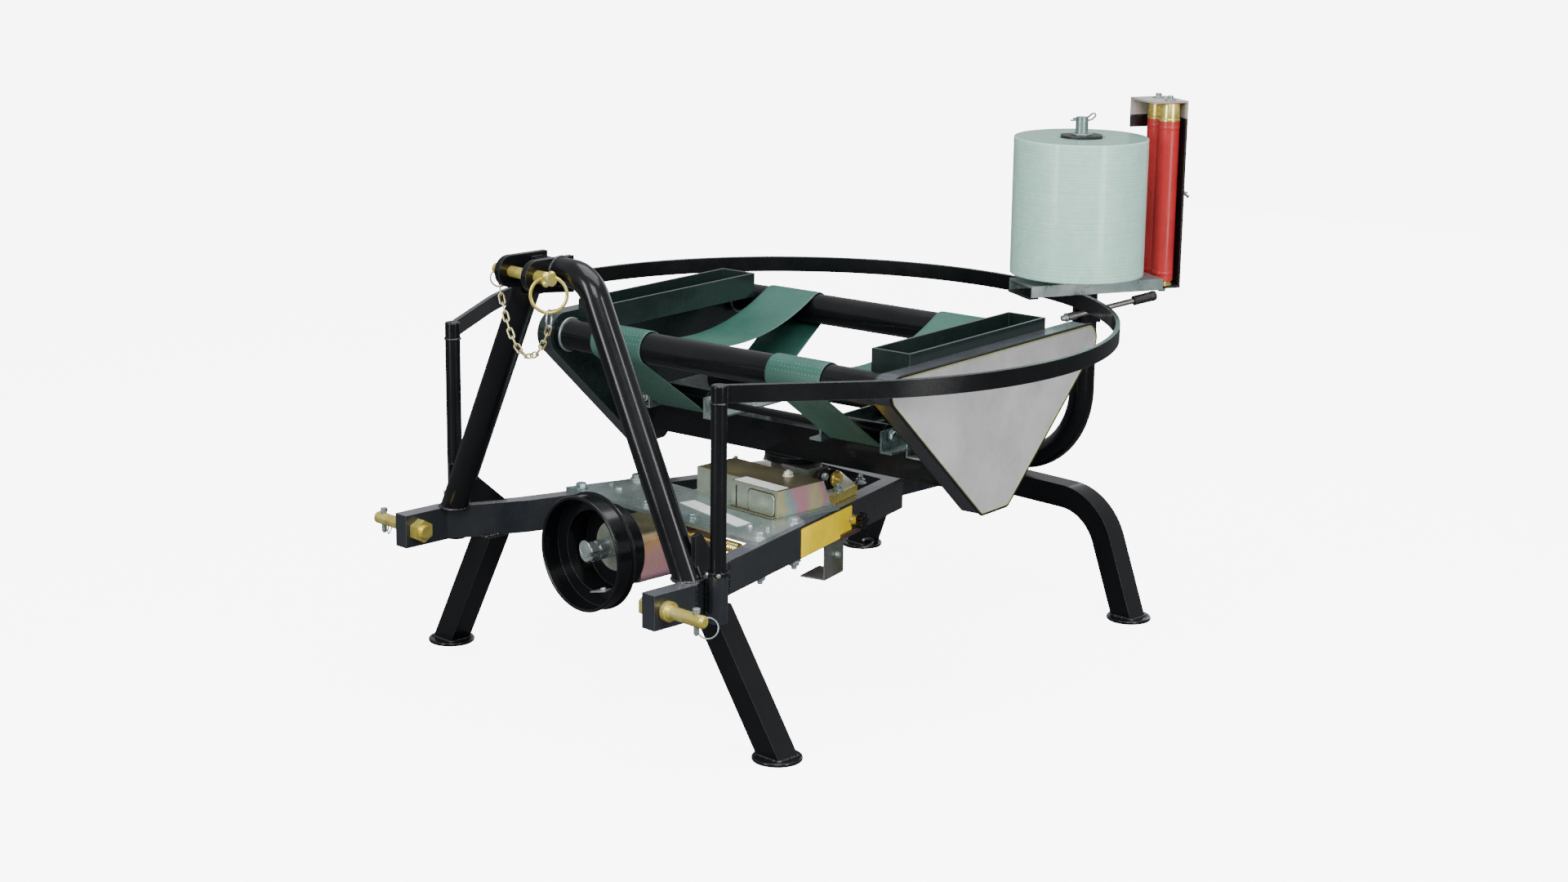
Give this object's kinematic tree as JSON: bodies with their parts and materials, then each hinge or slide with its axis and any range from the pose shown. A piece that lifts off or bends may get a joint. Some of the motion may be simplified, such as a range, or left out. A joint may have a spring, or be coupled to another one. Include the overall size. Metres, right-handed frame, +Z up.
{
  "type": "mounted bale wrapper",
  "caption": "Stationary three-point-linkage bale wrapper: turning table with rollers and belts, guard rail, legs and film dispenser.",
  "frame": {"origin": "on the floor under the middle of the machine's box", "axes": "+Y rearwards from the hitch, +X to the machine's right, +Z up"},
  "size_m": [1.18, 1.4622, 0.9896],
  "materials": {
    "black_paint": "gloss black enamel on steel",
    "gold_zinc": "yellow-passivated zinc plate",
    "bright_zinc": "blue-white zinc plate",
    "yellow_zinc": "olive iridescent zinc plate",
    "green_belt": "green coated woven belt",
    "grey_paint": "light grey paint",
    "film": "pale green stretch film wound on a core",
    "red_rubber": "red rubber sleeve, scuffed",
    "cast_grey": "painted casting"
  },
  "bodies": {
    "chassis": {"left_beam": "black_paint", "left_lower_pin": "gold_zinc", "left_front_leg": "black_paint", "left_guard_post": "black_paint", "right_beam": "black_paint", "right_lower_pin": "gold_zinc", "right_front_leg": "black_paint", "right_guard_post": "black_paint", "rear_frame": "black_paint", "top_link_ears": "black_paint", "top_pin": "gold_zinc", "top_pin_ring": "gold_zinc", "pin_chain": "gold_zinc", "left_mast_tube": "black_paint", "right_mast_tube": "black_paint", "right_gusset": "black_paint", "left_gusset": "black_paint", "rear_legs": "black_paint", "guard_rail": "black_paint", "pto_guard": "black_paint", "gearbox": "cast_grey", "drive_shaft": "cast_grey", "drive_plate": "bright_zinc", "drive_cover": "yellow_zinc", "hub_plate": "bright_zinc", "hub_drive": "cast_grey", "hub_bearing": "cast_grey", "hub_guard": "yellow_zinc", "brake_cheek": "black_paint", "brake_wheel": "gold_zinc", "beam_tray": "yellow_zinc", "beam_latch": "black_paint", "beam_strip": "black_paint", "dispenser_base": "bright_zinc", "film_spindle": "bright_zinc", "roller_frame": "bright_zinc", "dispenser_strap": "black_paint", "dispenser_arm": "black_paint", "dispenser_lever": "bright_zinc"},
    "turntable": {"table_beam": "black_paint", "left_side_plate": "black_paint", "right_side_plate": "black_paint", "left_trough": "black_paint", "right_trough": "black_paint", "left_belt": "green_belt", "right_belt": "green_belt", "left_cradle": "bright_zinc", "right_cradle": "bright_zinc", "left_side_flange": "black_paint", "chain_case": "black_paint", "chain_cover": "grey_paint"},
    "front_roller": {"front_roller": "black_paint"},
    "rear_roller": {"rear_roller": "black_paint"},
    "front_idler": {"front_idler": "black_paint"},
    "rear_idler": {"rear_idler": "black_paint"},
    "film_roll": {"film_roll": "film", "film_cap": "black_paint"},
    "front_stretch_roller": {"front_stretch_roller": "red_rubber"},
    "rear_stretch_roller": {"rear_stretch_roller": "red_rubber"},
    "pto_shaft": {"pto_shaft": "bright_zinc"}
  },
  "joints": [
    {"name": "table_turn", "type": "hinge", "parent": "chassis", "child": "turntable", "pos_m": [0, -0.05011, 0.366], "axis": [0, 0, 1], "continuous": true},
    {"name": "front_roller_spin", "type": "hinge", "parent": "turntable", "child": "front_roller", "pos_m": [0.03047, -0.29824, 0.58], "axis": [0.9925, 0.1219, 0], "continuous": true},
    {"name": "rear_roller_spin", "type": "hinge", "parent": "turntable", "child": "rear_roller", "pos_m": [-0.03047, 0.19803, 0.58], "axis": [0.9925, 0.1219, 0], "continuous": true},
    {"name": "front_idler_spin", "type": "hinge", "parent": "turntable", "child": "front_idler", "pos_m": [0.00999, -0.1315, 0.4535], "axis": [0.9925, 0.1219, 0], "continuous": true},
    {"name": "rear_idler_spin", "type": "hinge", "parent": "turntable", "child": "rear_idler", "pos_m": [-0.00999, 0.03128, 0.4535], "axis": [0.9925, 0.1219, 0], "continuous": true},
    {"name": "film_roll_spin", "type": "hinge", "parent": "chassis", "child": "film_roll", "pos_m": [0.20503, 0.50186, 0.664], "axis": [0, 0, 1], "continuous": true},
    {"name": "front_stretch_spin", "type": "hinge", "parent": "chassis", "child": "front_stretch_roller", "pos_m": [0.2815, 0.6736, 0.664], "axis": [0, 0, 1], "continuous": true},
    {"name": "rear_stretch_spin", "type": "hinge", "parent": "chassis", "child": "rear_stretch_roller", "pos_m": [0.23948, 0.69231, 0.664], "axis": [0, 0, 1], "continuous": true},
    {"name": "pto_spin", "type": "hinge", "parent": "chassis", "child": "pto_shaft", "pos_m": [0, -0.57011, 0.271], "axis": [0, 1, 0], "continuous": true}
  ],
  "couplings": [
    {"joint": "rear_roller_spin", "follows": "front_roller_spin", "ratio": 1},
    {"joint": "front_idler_spin", "follows": "front_roller_spin", "ratio": 1.4091},
    {"joint": "rear_idler_spin", "follows": "front_roller_spin", "ratio": 1.4091}
  ]
}
